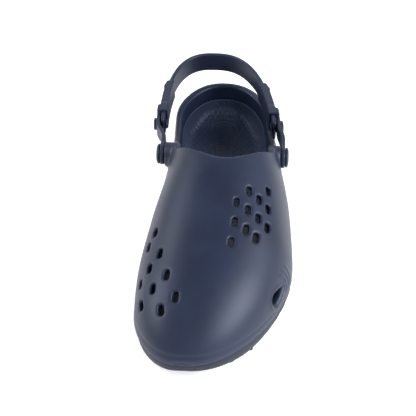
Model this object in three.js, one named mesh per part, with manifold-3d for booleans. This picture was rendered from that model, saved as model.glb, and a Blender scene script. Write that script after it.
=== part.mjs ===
// Rubber garden clog, left foot, with a swinging heel strap.
// Millimetres, +Z up, toe toward -Y, big-toe side toward -X.
// The origin is on the ground under the middle of the sole.
import * as THREE from 'three';
import { mergeVertices } from 'three/addons/utils/BufferGeometryUtils.js';
import { LoftGeometry } from 'three/addons/geometries/LoftGeometry.js';
import Module from 'manifold-3d';

const wasm = await Module();
wasm.setup();

// Overall size of the upper.
const LENGTH = 284;
const WIDTH = 109;
const HEIGHT = 110;
const TOE_Y = -LENGTH / 2;
const HEEL_Y = LENGTH / 2;

// Thicknesses and clearances.
const WALL = 4.6;
const TOE_WALL = 6;
const GAP = 0.3;
const OUTSOLE_WALL = 3.2;
const LUG_HEIGHT = 3;
const TREAD_INSET = 0.8;
const INSOLE_THICKNESS = 4;
const INSOLE_CLEARANCE = 0.5;
const INSOLE_EDGE = 1.2;
const INSOLE_CORNER = 14;
const INSOLE_HEEL_ROUND = 34;
const MIDSOLE_CLEARANCE = 0.4;

// Rise of the ground line at the two ends, and where along LENGTH each share of it is reached.
const TOE_SPRING = 14;
const HEEL_BEVEL = 6;
const TOE_LIFT = [[-0.5, 1], [-0.385, 0.3], [-0.27, 0], [0.5, 0]];
const HEEL_LIFT = [[-0.5, 0], [0.35, 0], [0.5, 1]];

// Side profiles: each pair is a fraction of LENGTH from the middle, then a value.
// Breadth lines as fractions of WIDTH.
const MEDIAL_EDGE = [
  [-0.5, -0.42], [-0.35, -0.465], [-0.25, -0.475], [-0.105, -0.44],
  [0.05, -0.376], [0.21, -0.35], [0.367, -0.362], [0.5, -0.35],
];
const LATERAL_EDGE = [
  [-0.5, 0.385], [-0.33, 0.477], [-0.175, 0.5275], [-0.035, 0.514],
  [0.14, 0.45], [0.315, 0.394], [0.5, 0.367],
];
// Crown of the last and height of the breadth line, as fractions of HEIGHT.
const CROWN = [
  [-0.5, 0.473], [-0.4, 0.527], [-0.28, 0.618], [-0.14, 0.755],
  [0, 0.882], [0.14, 0.973], [0.315, 1], [0.5, 0.964],
];
const BREADTH_HEIGHT = [[-0.5, 0.218], [0, 0.218], [0.5, 0.245]];
// Collar rim, joint between upper and outsole, and footbed, as fractions of HEIGHT.
const RIM = [
  [-0.08, 0.66], [0.05, 0.7], [0.085, 0.718], [0.108, 0.7], [0.145, 0.635],
  [0.19, 0.566], [0.25, 0.538], [0.32, 0.528], [0.41, 0.534], [0.5, 0.565],
];
const PARTING = [
  [-0.52, 0.255], [-0.35, 0.222], [-0.2, 0.2], [0, 0.195], [0.3, 0.2], [0.52, 0.215],
];
const FOOTBED = [[-0.5, 0.21], [-0.3, 0.135], [0, 0.145], [0.2, 0.19], [0.5, 0.215]];
// Height that the insole's edge curls up above its flat, as fractions of HEIGHT.
const INSOLE_CURL = [[-0.5, 0], [-0.05, 0], [0.2, 0.07], [0.5, 0.2]];

// Rounding of the plan outline at the toe and heel, and of the crown above them.
const TOE_ROUND_MEDIAL = 46;
const TOE_ROUND_LATERAL = 95;
const TOE_ROUND_CROWN = 58;
const TOE_ROUND_BASE = 30;
const HEEL_ROUND_SIDE = 48;
const HEEL_ROUND_CROWN = 42;
const HEEL_ROUND_BASE = 18;
const TOE_POWER = 2.15;
const HEEL_POWER = 2.2;
const CROWN_HEEL_POWER = 2.6;
const BASE_POWER = 2;
const TOE_TIP_X = -15.5;
const HEEL_TIP_X = 1;
const TIP_BLEND = 25;
const RIDGE_SHIFT = -0.04;
const ARCH_POWER = 2.35;
const SOLE_POWER = 2.4;
const SOLE_FLAT = 0.7;

// Mesh density of the lofted bodies.
const BODY_ROWS = 24;
const TREAD_ROWS = 14;
const ARCH_STEPS = 14;
const CORNER_STEPS = 3;
const TIP_STEP = 0.02;
const MERGE_DISTANCE = 1e-4;
const PROFILE_STEPS = 32;
const THROAT_STEPS = 20;
const BAND_STEPS = 44;
const SLEEVE_STEPS = 12;
const BORE_STEPS = 8;
const CUTTER_CURVE_STEPS = 4;
const EYE_STEPS = 9;
const LINK_STEPS = 8;

// Throat edge in plan: a bow across the instep.
const THROAT_Y = -6.5;
const THROAT_X = 5.5;
const THROAT_BOW = 0.0205;
const COLLAR_START = THROAT_Y * 4;

// Vents.
const VENT_LENGTH = 8;
const VENT_WIDTH = 4.7;
const VENT_CORNER = 1.4;
const VENT_REACH_OUT = 5;
const VENT_REACH_IN = 10;
const LATERAL_VENT_START = -0.143;
const LATERAL_VENT_PITCH = 0.05;
const LATERAL_VENT_LEAN = 0.0126;
const LATERAL_VENT_ANGLE = 103.5;
const LATERAL_VENT_TURN = 8.3;
const LATERAL_VENT_COLUMNS = 4;
const LATERAL_VENT_ROWS = 3;
// Fraction of LENGTH and angle round the arch from the big-toe side, in degrees.
const MEDIAL_VENTS = [
  [-0.19, 43], [-0.26, 54], [-0.323, 65], [-0.378, 77],
  [-0.218, 36], [-0.287, 43], [-0.347, 51], [-0.402, 62],
  [-0.31, 29], [-0.371, 33],
];
const DRAIN_PLACE = [-0.298, 165];
const DRAIN_LENGTH = 19;
const DRAIN_WIDTH = 9;
const DISH_MARGIN = 4;
const DISH_DEPTH = 1.4;

// Tread lugs on a staggered lattice.
const LUG_PITCH_ALONG = 11;
const LUG_PITCH_ACROSS = 15;
const LUG_GROOVE = 1.7;
const LUG_TOP_SCALE = 0.72;
const LUG_HALF_DEPTH = 0.62 * LUG_PITCH_ALONG;
const LUG_SHOULDER = 0.45;
const LUG_LOW = -1;
const LUG_DEPTH = 9;
const LUG_MARGIN = 5;
const LUG_END_MARGIN = LUG_PITCH_ALONG / 3;

// Heel strap and its hinge.
const HINGE_PLACE = 0.109;
const HINGE_LEVEL = 0.6;
const PAD_STAND_MEDIAL = 4.9;
const PAD_STAND_LATERAL = 1.4;
const STRAP_TILT = 7.5;
const STRAP_HEEL_ROOM = 1;
const STRAP_TUCK = 1.6;
const STRAP_SHIFT = -1.8;
const STRAP_DRIFT = -0.087;
const STRAP_POWER = 2.6;
const BAND_THICKNESS = 3.2;
const BAND_WIDTH = 17;
const BAND_START = 28.5;
const LINK_THICKNESS = 3.2;
const EYE_RADIUS = 8;
const LINK_HALF_WIDTH = 6.8;
const LINK_END = 42;
const NECK = 10;
const FLARE_START = 13;
const FLARE_END = 28;
const SLEEVE_START = 38.5;
const SLEEVE_END = 75.5;
const SLEEVE_WALL = 1.2;
const SLEEVE_BLOCK = 0.9;
// Fractions along the sleeve: end of its thick block, start and end of its slim run, its end bead.
const SLEEVE_THICK_END = 0.16;
const SLEEVE_SLIM_START = 0.24;
const SLEEVE_SLIM_END = 0.7;
const SLEEVE_BEAD = 0.85;
const EDGE_CUT = 0.8;

// Rivets, their inner caps and the strap studs.
const SHANK_RADIUS = 3;
const RIVET_HEAD_RADIUS = 7.6;
const RIVET_HEAD_THICKNESS = 2.5;
const RIVET_DIMPLE = 0.7;
const CAP_RADIUS = 6.2;
const CAP_THICKNESS = 2.4;
const CAP_SOCKET = 1.2;
const PAD_MARGIN = 1.2;
const PAD_SPREAD = 3;
const PAD_LENGTH = 14;
const RECESS_MARGIN = 0.8;
const RECESS_DEPTH = 8;
const STUD_PLACE = 33;
const STUD_SHANK_RADIUS = 2;
const STUD_HEAD_RADIUS = 4.7;
const STUD_HEAD_THICKNESS = 1.9;
const STUD_FLANGE_RADIUS = 3.6;
const STUD_FLANGE_THICKNESS = 0.9;
const ROUND_SEGMENTS = 18;

// A smooth curve through points with rising first values, without overshoot.
function curveThrough(points) {
  const count = points.length;
  const rise = (i) => (points[i + 1][1] - points[i][1]) / (points[i + 1][0] - points[i][0]);
  const slopes = points.map((point, i) => {
    if (i === 0) return rise(0);
    if (i === count - 1) return rise(count - 2);
    const before = rise(i - 1);
    const after = rise(i);
    return before * after <= 0 ? 0 : (2 * before * after) / (before + after);
  });
  return (value) => {
    const x = THREE.MathUtils.clamp(value, points[0][0], points[count - 1][0]);
    let i = 0;
    while (i < count - 2 && x > points[i + 1][0]) i += 1;
    const step = points[i + 1][0] - points[i][0];
    const t = (x - points[i][0]) / step;
    const start = points[i][1] * (1 + 2 * t) + slopes[i] * step * t;
    const end = points[i + 1][1] * (3 - 2 * t) - slopes[i + 1] * step * (1 - t);
    return start * (1 - t) * (1 - t) + end * t * t;
  };
}

const along = (profile, scale) => {
  const curve = curveThrough(profile);
  return (y) => curve(y / LENGTH) * scale;
};
const medialEdge = along(MEDIAL_EDGE, WIDTH);
const lateralEdge = along(LATERAL_EDGE, WIDTH);
const crownHeight = along(CROWN, HEIGHT);
const breadthHeight = along(BREADTH_HEIGHT, HEIGHT);
const rimHeight = along(RIM, HEIGHT);
const partingHeight = along(PARTING, HEIGHT);
const footbedHeight = along(FOOTBED, HEIGHT);
const insoleCurl = along(INSOLE_CURL, HEIGHT);
const toeLift = along(TOE_LIFT, TOE_SPRING);
const heelLift = along(HEEL_LIFT, HEEL_BEVEL);
const groundHeight = (y) => toeLift(y) + heelLift(y);

// How far an outline has opened at a distance from its rounded end: 0 to 1.
function opening(distance, reach, power) {
  const t = THREE.MathUtils.clamp(distance / reach, 0, 1);
  return (1 - (1 - t) ** power) ** (1 / power);
}

// One cross-section of the last at y, shrunk by the insets of a skin.
function sectionAt(y, skin) {
  const fromToe = y - (TOE_Y + skin.toe);
  const fromHeel = HEEL_Y - skin.heel - y;
  const blend = 1 / (1 + Math.exp(-y / TIP_BLEND));
  const middle = TOE_TIP_X * (1 - blend) + HEEL_TIP_X * blend;
  const heelSide = opening(fromHeel, HEEL_ROUND_SIDE, HEEL_POWER);
  const openMedial = opening(fromToe, TOE_ROUND_MEDIAL, TOE_POWER) * heelSide;
  const openLateral = opening(fromToe, TOE_ROUND_LATERAL, TOE_POWER) * heelSide;
  const openCrown =
    opening(fromToe, TOE_ROUND_CROWN, TOE_POWER) *
    opening(fromHeel, HEEL_ROUND_CROWN, CROWN_HEEL_POWER);
  const openBase =
    opening(fromToe, TOE_ROUND_BASE, BASE_POWER) *
    opening(fromHeel, skin.heelRound, BASE_POWER);
  const medial = middle + (medialEdge(y) + skin.side - middle) * openMedial;
  const lateral = middle + (lateralEdge(y) - skin.side - middle) * openLateral;
  const breadth = breadthHeight(y) + skin.lift;
  const crown = breadth + (crownHeight(y) - skin.side - breadth) * openCrown;
  const base = breadth + (skin.base(y) - breadth) * openBase;
  const ridge = (medial + lateral) / 2 + RIDGE_SHIFT * (lateral - medial);
  return { medial, lateral, breadth, crown, base, ridge };
}

// A point of the arch over the foot; the angle runs from the big-toe side to the little-toe side.
function archPoint(y, angle, skin) {
  const { medial, lateral, breadth, crown, ridge } = sectionAt(y, skin);
  const power = 2 / ARCH_POWER;
  const across = -Math.cos(angle);
  const side = Math.sign(across) * Math.abs(across) ** power;
  const half = side < 0 ? ridge - medial : lateral - ridge;
  const up = Math.max(Math.sin(angle), 0) ** power;
  return new THREE.Vector3(ridge + side * half, y, breadth + (crown - breadth) * up);
}

// A point of the rounded corner under the breadth line; at a right angle it meets the flat base.
function cornerPoint(y, angle, side, skin) {
  const { medial, lateral, breadth, base, ridge } = sectionAt(y, skin);
  const power = 2 / SOLE_POWER;
  const across = SOLE_FLAT + (1 - SOLE_FLAT) * Math.max(Math.cos(angle), 0) ** power;
  const half = side < 0 ? medial - ridge : lateral - ridge;
  const z = breadth + (base - breadth) * Math.sin(angle) ** power;
  return new THREE.Vector3(ridge + half * across, y, z);
}

// The triangles of a geometry as a solid, with shared corners merged.
function toSolid(geometry) {
  const bare = new THREE.BufferGeometry();
  bare.setAttribute('position', geometry.attributes.position);
  bare.setIndex(geometry.index);
  const merged = mergeVertices(bare, MERGE_DISTANCE);
  const corners = Array.from(merged.index.array);
  const kept = [];
  for (let i = 0; i < corners.length; i += 3) {
    const [a, b, c] = corners.slice(i, i + 3);
    if (a !== b && b !== c && c !== a) kept.push(a, b, c);
  }
  return new wasm.Manifold(
    new wasm.Mesh({
      numProp: 3,
      vertProperties: new Float32Array(merged.attributes.position.array),
      triVerts: new Uint32Array(kept),
    }),
  );
}

function joinAll(solids) {
  return solids.reduce((sum, next) => sum.add(next));
}

// A named mesh from a solid.
function toMesh(name, solid, material) {
  const { vertProperties, triVerts } = solid.getMesh();
  const geometry = new THREE.BufferGeometry();
  geometry.setAttribute('position', new THREE.BufferAttribute(vertProperties, 3));
  geometry.setIndex(new THREE.BufferAttribute(triVerts, 1));
  geometry.computeVertexNormals();
  const mesh = new THREE.Mesh(geometry, material);
  mesh.name = name;
  return mesh;
}

// A closed body lofted from toe to heel inside the given skin.
function lastBody(skin, rows = BODY_ROWS) {
  const first = TOE_Y + skin.toe + TIP_STEP;
  const last = HEEL_Y - skin.heel - TIP_STEP;
  const quarter = Math.PI / 2;
  const sections = [];
  for (let row = 0; row <= rows; row += 1) {
    const y = first + ((last - first) * (1 - Math.cos((Math.PI * row) / rows))) / 2;
    const points = [];
    for (let i = 0; i < ARCH_STEPS; i += 1) {
      points.push(archPoint(y, (Math.PI * i) / ARCH_STEPS, skin));
    }
    for (let i = 0; i <= CORNER_STEPS; i += 1) {
      points.push(cornerPoint(y, (quarter * i) / CORNER_STEPS, 1, skin));
    }
    for (let i = CORNER_STEPS; i > 0; i -= 1) {
      points.push(cornerPoint(y, (quarter * i) / CORNER_STEPS, -1, skin));
    }
    sections.push(points);
  }
  return toSolid(new LoftGeometry(sections, { capStart: true, capEnd: true }));
}

// A skin is set in from the outside of the last. Its lift raises the widest line.
const insetSkin = (side, ends, base) => ({
  side,
  toe: ends,
  heel: ends,
  base,
  lift: 0,
  heelRound: HEEL_ROUND_BASE,
});
const OUTER_SKIN = insetSkin(0, 0, (y) => groundHeight(y) + LUG_HEIGHT);
const TREAD_SKIN = insetSkin(TREAD_INSET, TREAD_INSET, groundHeight);
const CUP_SKIN = insetSkin(
  OUTSOLE_WALL,
  OUTSOLE_WALL,
  (y) => groundHeight(y) + LUG_HEIGHT + OUTSOLE_WALL,
);
const MIDSOLE_SKIN = insetSkin(
  OUTSOLE_WALL + MIDSOLE_CLEARANCE,
  OUTSOLE_WALL + MIDSOLE_CLEARANCE,
  (y) => groundHeight(y) + LUG_HEIGHT + OUTSOLE_WALL + MIDSOLE_CLEARANCE,
);
const FOOT_SKIN = { ...insetSkin(WALL, WALL, footbedHeight), toe: TOE_WALL };
const LINER_SKIN = {
  ...insetSkin(WALL + INSOLE_CLEARANCE, WALL + INSOLE_CLEARANCE, (y) => footbedHeight(y) + GAP),
  toe: TOE_WALL + INSOLE_CLEARANCE,
};
const SOCK_INSET = WALL + INSOLE_CLEARANCE + INSOLE_EDGE;
const SOCK_SKIN = {
  ...insetSkin(SOCK_INSET, SOCK_INSET, (y) => footbedHeight(y) + GAP + INSOLE_THICKNESS),
  lift: INSOLE_CORNER,
  heelRound: INSOLE_HEEL_ROUND,
};

// A wide block whose underside or top follows a side profile.
function profileBlock(height, limit, start, end) {
  const shape = new THREE.Shape();
  shape.moveTo(start, limit);
  for (let i = 0; i <= PROFILE_STEPS; i += 1) {
    const y = start + ((end - start) * i) / PROFILE_STEPS;
    shape.lineTo(y, height(y));
  }
  shape.lineTo(end, limit);
  shape.closePath();
  const block = new THREE.ExtrudeGeometry(shape, { depth: WIDTH * 2, bevelEnabled: false });
  block.translate(0, 0, -WIDTH);
  const toSide = new THREE.Matrix4().makeBasis(
    new THREE.Vector3(0, 1, 0),
    new THREE.Vector3(0, 0, 1),
    new THREE.Vector3(1, 0, 0),
  );
  block.applyMatrix4(toSide);
  return toSolid(block);
}

const FAR_BELOW = -HEIGHT;
const FAR_ABOVE = HEIGHT * 2;
const PAST_TOE = TOE_Y * 1.2;
const PAST_HEEL = HEEL_Y * 1.2;
const belowProfile = (height) => profileBlock(height, FAR_BELOW, PAST_TOE, PAST_HEEL);
const aboveProfile = (height) => profileBlock(height, FAR_ABOVE, PAST_TOE, PAST_HEEL);

// The opening for the foot: behind the bowed throat edge and above the rim.
function collarCutter() {
  const shape = new THREE.Shape();
  shape.moveTo(-WIDTH, LENGTH);
  for (let i = 0; i <= THROAT_STEPS; i += 1) {
    const x = -WIDTH / 2 + (WIDTH * i) / THROAT_STEPS;
    shape.lineTo(x, THROAT_Y + THROAT_BOW * (x - THROAT_X) ** 2);
  }
  shape.lineTo(WIDTH, LENGTH);
  shape.closePath();
  const plan = new THREE.ExtrudeGeometry(shape, { depth: FAR_ABOVE, bevelEnabled: false });
  return toSolid(plan).intersect(profileBlock(rimHeight, FAR_ABOVE, COLLAR_START, LENGTH));
}

// Steps for finding a direction along and round a curve.
const FRAME_STEP = 0.5;
const FRAME_TURN = 0.01;

// A frame on the skin: x along the foot, y across, z outward.
function skinFrame(y, angle, skin) {
  const place = archPoint(y, angle, skin);
  const ahead = archPoint(y + FRAME_STEP, angle, skin);
  const forward = ahead.sub(archPoint(y - FRAME_STEP, angle, skin));
  const across = archPoint(y, angle + FRAME_TURN, skin);
  across.sub(archPoint(y, angle - FRAME_TURN, skin));
  const outward = new THREE.Vector3().crossVectors(forward, across).normalize().negate();
  forward.normalize();
  across.crossVectors(outward, forward);
  return new THREE.Matrix4().makeBasis(forward, across, outward).setPosition(place);
}

// A straight-sided cutter of the given outline through one wall of the upper.
function wallCutter(outline, frame, reachOut, reachIn) {
  const cutter = new THREE.ExtrudeGeometry(outline, {
    depth: reachOut + reachIn,
    bevelEnabled: false,
    curveSegments: CUTTER_CURVE_STEPS,
  });
  cutter.translate(0, 0, -reachIn);
  cutter.applyMatrix4(frame);
  return toSolid(cutter);
}

function ventOutline() {
  const halfLength = VENT_LENGTH / 2;
  const halfWidth = VENT_WIDTH / 2;
  const shape = new THREE.Shape();
  shape.moveTo(-halfLength + VENT_CORNER, -halfWidth);
  shape.lineTo(halfLength - VENT_CORNER, -halfWidth);
  shape.lineTo(halfLength, -halfWidth + VENT_CORNER);
  shape.lineTo(halfLength, halfWidth - VENT_CORNER);
  shape.lineTo(halfLength - VENT_CORNER, halfWidth);
  shape.lineTo(-halfLength + VENT_CORNER, halfWidth);
  shape.lineTo(-halfLength, halfWidth - VENT_CORNER);
  shape.lineTo(-halfLength, -halfWidth + VENT_CORNER);
  shape.closePath();
  return shape;
}

// A teardrop with its round end toward the toe.
function dropOutline(length, width) {
  const radius = width / 2;
  const round = -length / 2 + radius;
  const shape = new THREE.Shape();
  shape.moveTo(length / 2, 0);
  shape.quadraticCurveTo(length / 4, radius, round, radius);
  shape.absarc(round, 0, radius, Math.PI / 2, (Math.PI * 3) / 2);
  shape.quadraticCurveTo(length / 4, -radius, length / 2, 0);
  return shape;
}

function ventCutters() {
  const places = [...MEDIAL_VENTS];
  for (let column = 0; column < LATERAL_VENT_COLUMNS; column += 1) {
    for (let row = 0; row < LATERAL_VENT_ROWS; row += 1) {
      const stagger = column % 2 ? LATERAL_VENT_PITCH / 2 : 0;
      const fraction =
        LATERAL_VENT_START - LATERAL_VENT_PITCH * row + LATERAL_VENT_LEAN * column + stagger;
      places.push([fraction, LATERAL_VENT_ANGLE + LATERAL_VENT_TURN * column]);
    }
  }
  return places.map(([fraction, degrees]) => {
    const frame = skinFrame(fraction * LENGTH, THREE.MathUtils.degToRad(degrees), OUTER_SKIN);
    return wallCutter(ventOutline(), frame, VENT_REACH_OUT, VENT_REACH_IN);
  });
}

// The big drain at the little-toe side, at the bottom of a shallow dish.
function drainCutters() {
  const [fraction, degrees] = DRAIN_PLACE;
  const frame = skinFrame(fraction * LENGTH, THREE.MathUtils.degToRad(degrees), OUTER_SKIN);
  const hole = dropOutline(DRAIN_LENGTH, DRAIN_WIDTH);
  const dish = dropOutline(DRAIN_LENGTH + 2 * DISH_MARGIN, DRAIN_WIDTH + 2 * DISH_MARGIN);
  return [
    wallCutter(hole, frame, VENT_REACH_OUT, VENT_REACH_IN),
    wallCutter(dish, frame, VENT_REACH_OUT, DISH_DEPTH),
  ];
}

// A turned piece with its axis along X; the profile pairs are radius and x.
function turnedX(profile) {
  const points = profile.map(([radius, x]) => new THREE.Vector2(radius, x));
  const lathe = new THREE.LatheGeometry(points, ROUND_SEGMENTS);
  lathe.rotateZ(-Math.PI / 2);
  return toSolid(lathe);
}

const SIDES = { medial: -1, lateral: 1 };
const HINGE_Y = HINGE_PLACE * LENGTH;
const HINGE_Z = HINGE_LEVEL * HEIGHT;

// The flat pad of the upper at the hinge stands a little off the arch.
function padFace(side) {
  const { medial, lateral, breadth, crown, ridge } = sectionAt(HINGE_Y, OUTER_SKIN);
  const up = ((HINGE_Z - breadth) / (crown - breadth)) ** ARCH_POWER;
  const reach = (1 - up) ** (1 / ARCH_POWER);
  const edge = side < 0 ? medial : lateral;
  const stand = side < 0 ? PAD_STAND_MEDIAL : PAD_STAND_LATERAL;
  return ridge + reach * (edge - ridge) + side * stand;
}

// Centre plane of a strap link at the hinge.
const linkPlane = (side) => padFace(side) + side * (LINK_THICKNESS / 2 + GAP);
const HINGE_X = (linkPlane(1) + linkPlane(-1)) / 2;
const HINGE_HALF_SPAN = (linkPlane(1) - linkPlane(-1)) / 2;

// Turned pieces at the hinge are drawn for the +X side, x from the pad outward.
function placeAtHinge(solid, side) {
  const mirrored = side < 0 ? solid.mirror([1, 0, 0]) : solid;
  return mirrored.translate([padFace(side), HINGE_Y, HINGE_Z]);
}

const PAD_RADIUS = EYE_RADIUS + PAD_MARGIN;
const hingePad = turnedX([
  [0, -PAD_LENGTH], [PAD_RADIUS + PAD_SPREAD, -PAD_LENGTH], [PAD_RADIUS, 0], [0, 0],
]);
const hingeBore = turnedX([
  [0, -PAD_LENGTH * 2], [CAP_RADIUS + GAP, -PAD_LENGTH * 2], [CAP_RADIUS + GAP, -WALL],
  [SHANK_RADIUS + GAP, -WALL], [SHANK_RADIUS + GAP, GAP], [0, GAP],
]);
const hingeRecess = turnedX([
  [0, 0], [EYE_RADIUS + RECESS_MARGIN, 0], [EYE_RADIUS + RECESS_MARGIN, RECESS_DEPTH],
  [0, RECESS_DEPTH],
]);

function upperShell() {
  const upper = lastBody(OUTER_SKIN).intersect(aboveProfile((y) => partingHeight(y) + GAP));
  const pads = Object.values(SIDES).map((side) => placeAtHinge(hingePad, side));
  const bores = Object.values(SIDES).flatMap((side) => [
    placeAtHinge(hingeBore, side),
    placeAtHinge(hingeRecess, side),
  ]);
  const filled = joinAll([upper, lastBody(MIDSOLE_SKIN), ...pads]);
  const openings = [...ventCutters(), ...drainCutters()];
  const cutters = [collarCutter(), bandRelief(), lastBody(FOOT_SKIN), ...bores, ...openings];
  return cutters.reduce((solid, cutter) => solid.subtract(cutter), filled);
}

// One tread lug: a six-sided block, tapered below its root.
function treadLug(x, y) {
  const half = LUG_PITCH_ACROSS / 2 - LUG_GROOVE / 2;
  const deep = LUG_HALF_DEPTH - LUG_GROOVE / 2;
  const corner = [
    [1, 0], [LUG_SHOULDER, 1], [-LUG_SHOULDER, 1],
    [-1, 0], [-LUG_SHOULDER, -1], [LUG_SHOULDER, -1],
  ];
  const ring = (scale, z) =>
    corner.map(([u, v]) => new THREE.Vector3(x + u * half * scale, y + v * deep * scale, z));
  const footLevel = groundHeight(y) + LUG_LOW;
  const rootLevel = footLevel + LUG_DEPTH;
  return toSolid(
    new LoftGeometry([ring(LUG_TOP_SCALE, footLevel), ring(1, rootLevel)], {
      capStart: true,
      capEnd: true,
    }),
  );
}

function treadLugs() {
  const rowsAlong = Math.ceil(LENGTH / 2 / LUG_PITCH_ALONG);
  const rowsAcross = Math.ceil(WIDTH / 2 / LUG_PITCH_ACROSS);
  const lugs = [];
  for (let i = -rowsAlong; i <= rowsAlong; i += 1) {
    for (let j = -rowsAcross; j <= rowsAcross; j += 1) {
      const x = (j + (i % 2 ? 0.5 : 0)) * LUG_PITCH_ACROSS;
      const y = i * LUG_PITCH_ALONG;
      const section = sectionAt(THREE.MathUtils.clamp(y, TOE_Y, HEEL_Y), OUTER_SKIN);
      const inside = x > section.medial + LUG_MARGIN && x < section.lateral - LUG_MARGIN;
      if (inside && Math.abs(y) < LENGTH / 2 - LUG_END_MARGIN) lugs.push(treadLug(x, y));
    }
  }
  return lugs;
}

function outsole() {
  const tread = wasm.Manifold.compose(treadLugs()).intersect(lastBody(TREAD_SKIN, TREAD_ROWS));
  return lastBody(OUTER_SKIN)
    .add(tread)
    .intersect(belowProfile(partingHeight))
    .subtract(lastBody(CUP_SKIN));
}

// The insole curls up round the heel to hold the foot.
function insole() {
  const top = belowProfile((y) => footbedHeight(y) + INSOLE_THICKNESS + insoleCurl(y));
  return lastBody(LINER_SKIN).intersect(top).subtract(lastBody(SOCK_SKIN));
}

const STRAP_REACH = HEEL_Y - HINGE_Y + STRAP_HEEL_ROOM;
const STRAP_HALF_WIDTH = HINGE_HALF_SPAN - STRAP_TUCK;

// Centre line of the strap band in the strap's own plane: x across, s away from the hinge.
function bandPoint(turn) {
  const s = STRAP_REACH * Math.sin(turn) ** (2 / STRAP_POWER);
  const across = Math.cos(turn);
  const side = Math.sign(across) * Math.abs(across) ** (2 / STRAP_POWER);
  const middle = HINGE_X + STRAP_SHIFT + STRAP_DRIFT * s;
  return new THREE.Vector2(middle + side * STRAP_HALF_WIDTH, s);
}
const turnAt = (s) => Math.asin((s / STRAP_REACH) ** (STRAP_POWER / 2));

// Outward direction of the band at a turn of its curve.
function bandOutward(turn) {
  const ahead = bandPoint(Math.min(turn + FRAME_TURN, Math.PI));
  const tangent = ahead.sub(bandPoint(Math.max(turn - FRAME_TURN, 0)));
  return new THREE.Vector2(tangent.y, -tangent.x).normalize();
}

// A flat strip swept along the strap: each stop gives centre, outward, thickness and width.
function strip(stops) {
  const sections = stops.map(({ centre, outward, inner, outer, halfWidth }) => {
    const cut = Math.min(EDGE_CUT, halfWidth / 3);
    const ring = [
      [outer - cut, -halfWidth], [inner + cut, -halfWidth], [inner, -halfWidth + cut],
      [inner, halfWidth - cut], [inner + cut, halfWidth], [outer - cut, halfWidth],
      [outer, halfWidth - cut], [outer, -halfWidth + cut],
    ];
    return ring.map(([out, up]) => {
      return new THREE.Vector3(centre.x + outward.x * out, centre.y + outward.y * out, up);
    });
  });
  return toSolid(new LoftGeometry(sections, { capStart: true, capEnd: true }));
}

// Strip stops along the band between two turns of its curve.
function bandStops(first, last, count, shape) {
  const stops = [];
  for (let i = 0; i <= count; i += 1) {
    const turn = first + ((last - first) * i) / count;
    const size = shape(i / count);
    stops.push({ centre: bandPoint(turn), outward: bandOutward(turn), ...size });
  }
  return stops;
}

const halfBand = BAND_THICKNESS / 2;

function heelBand() {
  const start = turnAt(BAND_START);
  const size = { inner: -halfBand, outer: halfBand, halfWidth: BAND_WIDTH / 2 };
  const band = strip(bandStops(start, Math.PI - start, BAND_STEPS, () => size));
  return Object.values(SIDES).reduce((solid, side) => {
    return solid.subtract(studHole(side));
  }, band);
}

// The room the band takes, with its gap, in the frame of the upper: the rim is cut back to it.
function bandRelief() {
  const reach = halfBand + GAP;
  const start = turnAt(BAND_START - GAP);
  const size = { inner: -reach, outer: reach, halfWidth: BAND_WIDTH / 2 + GAP };
  return strip(bandStops(start, Math.PI - start, BAND_STEPS, () => size))
    .rotate([STRAP_TILT, 0, 0])
    .translate([0, HINGE_Y, HINGE_Z]);
}

// Turned pieces at a stud are drawn with x from the band's centre line outward.
function placeAtStud(solid, side) {
  const turn = side > 0 ? turnAt(STUD_PLACE) : Math.PI - turnAt(STUD_PLACE);
  const centre = bandPoint(turn);
  const outward = bandOutward(turn);
  const angle = THREE.MathUtils.radToDeg(Math.atan2(outward.y, outward.x));
  return solid.rotate([0, 0, angle]).translate([centre.x, centre.y, 0]);
}

const linkInner = halfBand + GAP;
const linkOuter = linkInner + LINK_THICKNESS;

function studHole(side) {
  const radius = STUD_SHANK_RADIUS + GAP;
  const reach = linkOuter * 2;
  return placeAtStud(turnedX([[0, -reach], [radius, -reach], [radius, reach], [0, reach]]), side);
}

// Turn round the eye, from its front, at which the neck takes over.
const EYE_TURN = THREE.MathUtils.degToRad(116);

// The link of one side: a round eye at the hinge, flaring to lie along the band.
function strapLink(side) {
  const places = [];
  for (let i = 0; i <= EYE_STEPS; i += 1) {
    places.push(-EYE_RADIUS * Math.cos((EYE_TURN * i) / EYE_STEPS));
  }
  for (let i = 0; i <= LINK_STEPS; i += 1) {
    places.push(THREE.MathUtils.lerp(NECK, LINK_END, i / LINK_STEPS));
  }
  const stops = places.map((s) => {
    const level = turnAt(Math.max(s, EDGE_CUT));
    const turn = side > 0 ? level : Math.PI - level;
    const beside = bandPoint(turn).x + side * (linkInner + LINK_THICKNESS / 2);
    const flare = THREE.MathUtils.smoothstep(s, FLARE_START, FLARE_END);
    const x = THREE.MathUtils.lerp(linkPlane(side), beside, flare);
    const round = Math.sqrt(Math.max(EYE_RADIUS ** 2 - s ** 2, EDGE_CUT ** 2));
    return {
      centre: new THREE.Vector2(x, s),
      outward: new THREE.Vector2(side, 0),
      inner: -LINK_THICKNESS / 2,
      outer: LINK_THICKNESS / 2,
      halfWidth: s < NECK ? Math.max(round, s > 0 ? LINK_HALF_WIDTH : 0) : LINK_HALF_WIDTH,
    };
  });
  return strip(side > 0 ? stops : stops.reverse());
}

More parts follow.
